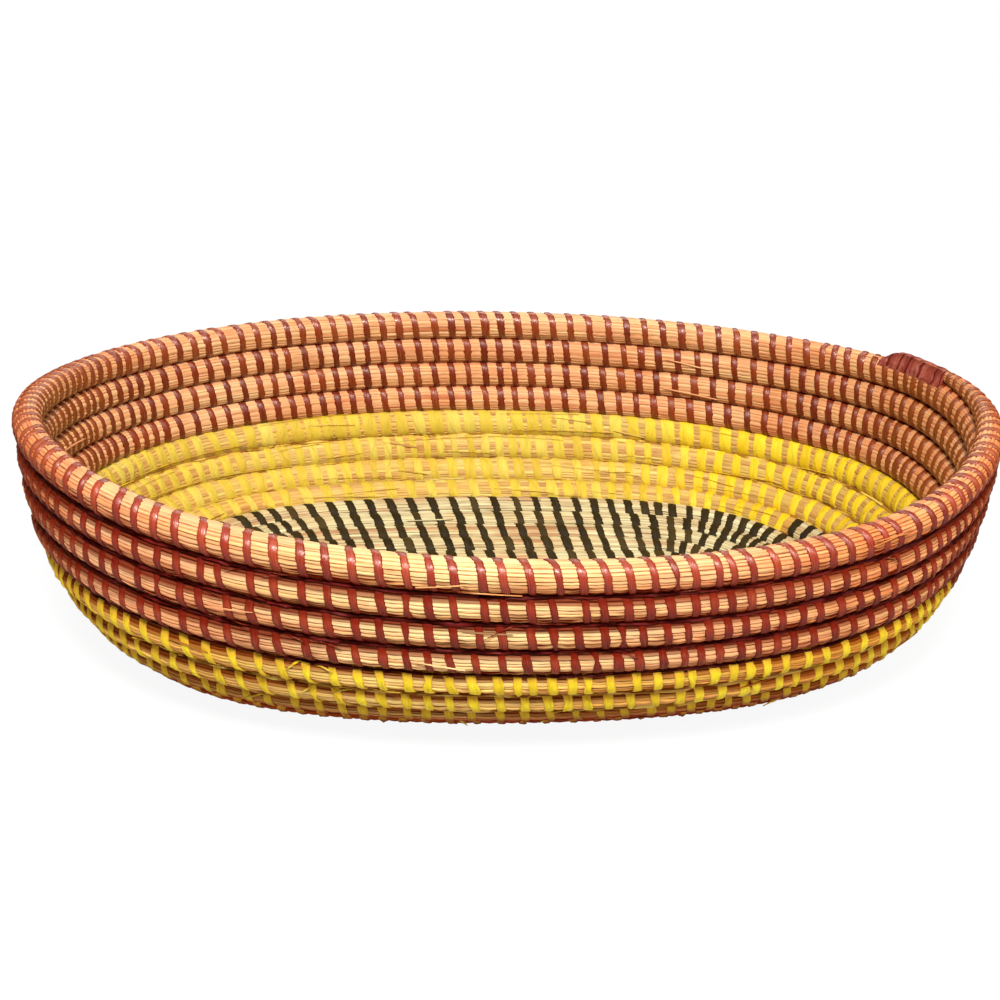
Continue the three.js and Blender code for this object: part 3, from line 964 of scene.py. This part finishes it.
def groove_strand(colour, count, start, end, side, seed, half=0.5):
    """The working strip where it runs along the groove below its round. side is 1 outside the
    basket and -1 inside it."""
    station_step, sway_spacing, sways_up, sways_out, most_spin, map_length = 2.2, 8, 0.25, 0.45, 2.2, 40
    arc = np.arange(start, end, station_step)
    sway = wander(5, arc, sway_spacing, seed)
    up, out = on_coil(ups, arc), on_coil(outs, arc)
    place = (on_coil(places, arc) - up * (groove_depth + sways_up * sway[0])[:, None]
             + out * (side * (groove_out + sways_out * sway[1]))[:, None])
    spin = (sway[2] * most_spin)[:, None]
    flat_way = up * np.cos(spin) + out * np.sin(spin)
    thin_way = out * np.cos(spin) - up * np.sin(spin)
    wide = (half * (1.3 + 0.45 * sway[3]))[:, None]
    thin = (half * (0.75 + 0.25 * sway[4]))[:, None]
    rings = np.stack([place + flat_way * wide, place + thin_way * thin,
                      place - flat_way * wide, place - thin_way * thin], 1)
    name = f"groove_{colour}_{count}_{seed}"
    return tube(name, rings, arc / map_length, np.array([0.0, 0.25, 0.5, 0.75]), sewn[colour].groove_strip)


def loose_tail(name, arc, turn, reach, climb, lift, half, material, rise=0.15):
    """A strip's loose end that comes out of a groove and lies over the next round."""
    share = np.linspace(0, 1, 7)
    return ribbon(name, arc + reach * share, turn + climb * share, half * (1 - share) ** 0.55 + 0.08,
                  rise + lift * share ** 2, 0.22 + 0.1 * (1 - share), share, material)


def stray_straw(name, arc, turn, reach, climb, half, material):
    """A single straw that has come loose and lies askew on its round, thin at both ends."""
    share = np.linspace(0, 1, 9)
    wide = half * np.sin(math.pi * (0.06 + 0.88 * share)) ** 0.5
    middle, at = turn + climb * share, arc + reach * share
    around = np.array([-1, -0.5, 0.5, 1, 0.0])
    lift = np.array([0.1, 0.42, 0.42, 0.1, -0.1])
    mm_to_turn = 1 / (2 * math.pi * row_half_height)
    rings = surface(at[:, None], middle[:, None] + wide[:, None] * around * mm_to_turn, lift + 0.3)
    across = math.floor(turn * straws) + np.array([0.2, 0.35, 0.65, 0.8, 0.9])
    return tube(name, rings, at * metre, across, material)


def inner_strands(colour, start, end):
    """Loose yellow fibres that run along the inside."""
    for k in range(int((end - start) / 26)):
        arc, turn = chance.uniform(start + 2, end - 50), chance.uniform(0.58, 0.92)
        reach, climb = chance.uniform(12, 45), chance.uniform(-0.06, 0.06)
        half = chance.uniform(0.4, 1.3)
        yield loose_tail(f"strand_{k}", arc, turn, reach, climb, 0.1, half, sewn[colour].strip, rise=0.42)


def outer_tails(colour, count, start, end):
    """Loose ends out of the groove below a round, and of the one above it where there is one."""
    for k in range(int((end - start) / 48)):
        arc = chance.uniform(start + 14, end - 14)
        reach = chance.choice([-1, 1]) * chance.uniform(3, 13)
        turn, climb = chance.uniform(0.4, 0.46), chance.uniform(-0.13, 0.02)
        if chance.random() < 0.5 and (colour, count) != rim_round:
            turn, climb = chance.uniform(0.05, 0.09), chance.uniform(0.0, 0.13)
        lift, half = chance.uniform(0.2, 1.2), chance.uniform(0.5, 1.7)
        yield loose_tail(f"tail_{k}", arc, turn, reach, climb, lift, half, sewn[colour].strip)


for colour, count, start, end in stretches():
    parts = [sew(colour, count, start, end)]
    if colour == "yellow":
        parts.append(sew(colour, count, start, end, ply=1))
        parts.append(groove_strand(colour, count, start, end, side=-1, seed=41, half=0.8))
        parts += inner_strands(colour, start, end)
    if sewn[colour].groove_strip:
        parts.append(groove_strand(colour, count, start, end, side=1, seed=31))
        parts += outer_tails(colour, count, start, end)
    piece = join(f"stitches_{colour}_{count}", parts)
    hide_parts(f"{sewn[colour].slot}_{count}")
    pieces["stitches", colour, count] = piece

for colour, count, start, end in stretches():
    parts = [pieces[colour, count]]
    for k in range(int((end - start) / 150)):
        turn = chance.choice([chance.uniform(0.13, 0.38), chance.uniform(0.62, 0.88)])
        arc, reach = chance.uniform(start + 2, end - 45), chance.uniform(9, 27)
        climb, half = chance.uniform(-0.07, 0.07), chance.uniform(0.2, 0.38)
        parts.append(stray_straw(f"stray_{k}", arc, turn, reach, climb, half, grass_of(colour, count)))
    pieces[colour, count] = join(parts[0].name, parts)


# The winding round the tapered end

def tip_winding():
    """The close winding that holds the thin tip down: a crumpled sleeve from one side of the round
    below, over the tip, to the other side."""
    length, strip_width, sleeve_depth, end_taper, uneven_share = 36, 5.6, 0.7, 7, 0.34
    middle_rise, turn_rise, crumple_rise = 0.75, 0.13, 1.1
    closes_before, closes_over = 9, 8
    arc = np.arange(coil_length - length, coil_length - 0.5, arc_step)
    below = np.array([arc_at_round(r + 1) for r in on_coil(arc_rounds, arc)])
    closing = eased((arc - coil_length + closes_before) / closes_over)[:, None]
    from_ends = np.minimum(arc - arc[0], arc[-1] - arc)
    thin = np.clip(from_ends / end_taper, 0, 1) ** 0.6
    marks = [(below, 0.84), (below, 0.875), (below, 0.91), (arc, 0.78), (arc, 0.88), (arc, 0.96),
             (arc, 0.04), (arc, 0.12), (arc, 0.22), (below, 0.08), (below, 0.12), (below, 0.16)]
    pressed = np.interp(np.arange(len(marks)), [2, 9], [0.92, 1.07])
    crumple = wander(len(marks), arc * 4, spacing=9, seed=61)
    fold = wander(1, arc, spacing=7, seed=62)[0]
    outer, inner = [], []
    for k, (at, turn) in enumerate(marks):
        coil_turn = 2 * math.pi * (arc / strip_width + 0.5 * k / len(marks)) + 2.5 * fold
        from_side = min(k, len(marks) - 1 - k, 2) / 2
        rise = thin * from_side * (middle_rise + turn_rise * np.sin(coil_turn) + crumple_rise * crumple[k])
        for rings, lift in ((outer, rise), (inner, -sleeve_depth)):
            point = surface(at, turn, lift)
            if at is arc:
                point = point * (1 - closing) + surface(below, pressed[k], lift) * closing
            rings.append(point)
    rings = np.stack(outer + inner[::-1], 1)
    across = np.linspace(0.2, 0.8, len(marks))
    slant = 0.35 * np.abs(np.linspace(-1, 1, 2 * len(marks)))
    uneven = uneven_share * np.concatenate([crumple, crumple[::-1]]).T
    along = (arc / strip_width + 0.5 * fold)[:, None] + slant + uneven
    return tube("tip_winding", rings, along, np.concatenate([across, across[::-1]]), binding_strip)


winding = tip_winding()
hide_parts("tip_binding")
pieces["winding"] = winding

for piece in pieces.values():
    select_only([piece])
    bpy.ops.object.mode_set(mode="EDIT")
    bpy.ops.mesh.select_all(action="SELECT")
    bpy.ops.mesh.normals_make_consistent(inside=False)
    bpy.ops.object.mode_set(mode="OBJECT")
    bpy.ops.object.shade_smooth_by_angle(angle=math.radians(52))
    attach(piece, "root")


# Floor and surroundings

# What shiny spots mirror is only a small share of the white behind the basket, because the room
# it stood in was dimmer
glossy_share = 0.06
paint_in_light, paint_in_gloss, paint_seen = 0.6, 0.1, 0.94
white_at_basket, white_far_off = 0.92, 1.0
room_light = 0.2


def light_path(n, ray):
    return n.add("ShaderNodeLightPath").outputs[f"Is {ray} Ray"]


def seen_straight(n):
    return n.most(light_path(n, "Camera"), light_path(n, "Transmission"))


def shown(n):
    """1 for what the camera sees straight on or through glass, and a small share of it in gloss."""
    return n.most(seen_straight(n), n.times(light_path(n, "Glossy"), glossy_share))


def floor_paint():
    """White where it is seen, a little less so close to the basket, and a dimmer floor to the light."""
    material, tree, shader = new_material("floor_paint", 0.9)
    shader.inputs["Specular IOR Level"].default_value = 0.0
    n = Nodes(tree)
    unseen = n.scaled(light_path(n, "Glossy"), paint_in_gloss - paint_in_light, paint_in_light)
    paint = n.scaled(seen_straight(n), paint_seen - paint_in_light, unseen)
    n.feed(shader.inputs["Base Color"], paint)
    away = n.add("ShaderNodeVectorMath", operation="LENGTH")
    n.feed(away.inputs[0], n.spot())
    bright = n.range(away.outputs["Value"], 0.12, 0.5, white_at_basket, white_far_off)
    blend = n.add("ShaderNodeMixShader")
    n.feed(blend.inputs[0], n.times(shown(n), bright))
    n.feed(blend.inputs[1], shader.outputs[0])
    n.feed(blend.inputs[2], n.add("ShaderNodeEmission").outputs[0])
    n.feed(tree.nodes["Material Output"].inputs[0], blend.outputs[0])
    return material


bpy.ops.mesh.primitive_plane_add(size=8, location=(0, 0, 0))
floor = bpy.context.object
floor.name = "floor"
floor.data.materials.append(floor_paint())

world = bpy.data.worlds.new("room")
bpy.context.scene.world = world
world.use_nodes = True
n = Nodes(world.node_tree)
back = world.node_tree.nodes["Background"]
n.feed(back.inputs["Strength"], n.scaled(shown(n), 1 - room_light, room_light))
n.feed(back.inputs["Color"], n.mix(light_path(n, "Camera"), (1.0, 0.88, 0.76, 1), white_tint))


# Lamps: place, target and size in metres, power in watts

def lamp(name, place, target, size, power):
    light = bpy.data.lights.new(name, "AREA")
    light.shape = "RECTANGLE"
    light.size, light.size_y = size
    light.energy = power
    aim = (Vector(target) - Vector(place)).to_track_quat("-Z", "Y")
    add_object(name, light).matrix_world = Matrix.Translation(place) @ aim.to_matrix().to_4x4()


lamp("key", (-0.12, -0.74, 1.14), (0, 0, 0.04), (0.34, 0.28), 24.5)
lamp("fill", (0.8, -0.6, 0.9), (0, 0, 0.04), (0.7, 0.7), 6.5)
lamp("left_fill", (-0.8, -0.4, 1.0), (0, 0, 0.04), (0.6, 0.6), 1.5)
lamp("top", (0.0, 0.1, 1.3), (0, 0, 0.04), (0.7, 0.5), 2.5)
lamp("back", (0.1, 1.3, 0.8), (0, 0, 0.03), (1.0, 0.5), 6)


# The camera, fitted to the photo: its place is in rounds from the middle of the oval, and its
# focal length is in pixels of a picture 1000 pixels wide
camera_place = Vector((-5.7903, -51.401, 30.5567))
focal_pixels, picture_pixels = 1735.68, 1000
sensor_width = 36
yaw, pitch, roll = 0.1077, 0.4787, 0.0451

camera = bpy.data.cameras.new("camera")
camera.sensor_width = sensor_width
camera.lens = sensor_width * focal_pixels / picture_pixels
camera.clip_start, camera.clip_end = 0.01, 20
viewer = add_object("camera", camera)
bpy.context.scene.camera = viewer
ahead = Vector((math.sin(yaw) * math.cos(pitch), math.cos(yaw) * math.cos(pitch), -math.sin(pitch)))
level = Vector((math.cos(yaw), -math.sin(yaw), 0))
upright = level.cross(ahead)
side = level * math.cos(roll) + upright * math.sin(roll)
head = upright * math.cos(roll) - level * math.sin(roll)
eye = camera_place * coil_pitch + Vector(shift_to_middle) + Vector((0, 0, rest_height))
viewer.matrix_world = Matrix.Translation(eye * metre) @ Matrix((side, head, -ahead)).transposed().to_4x4()

scene = bpy.context.scene
scene.view_settings.view_transform = "Standard"
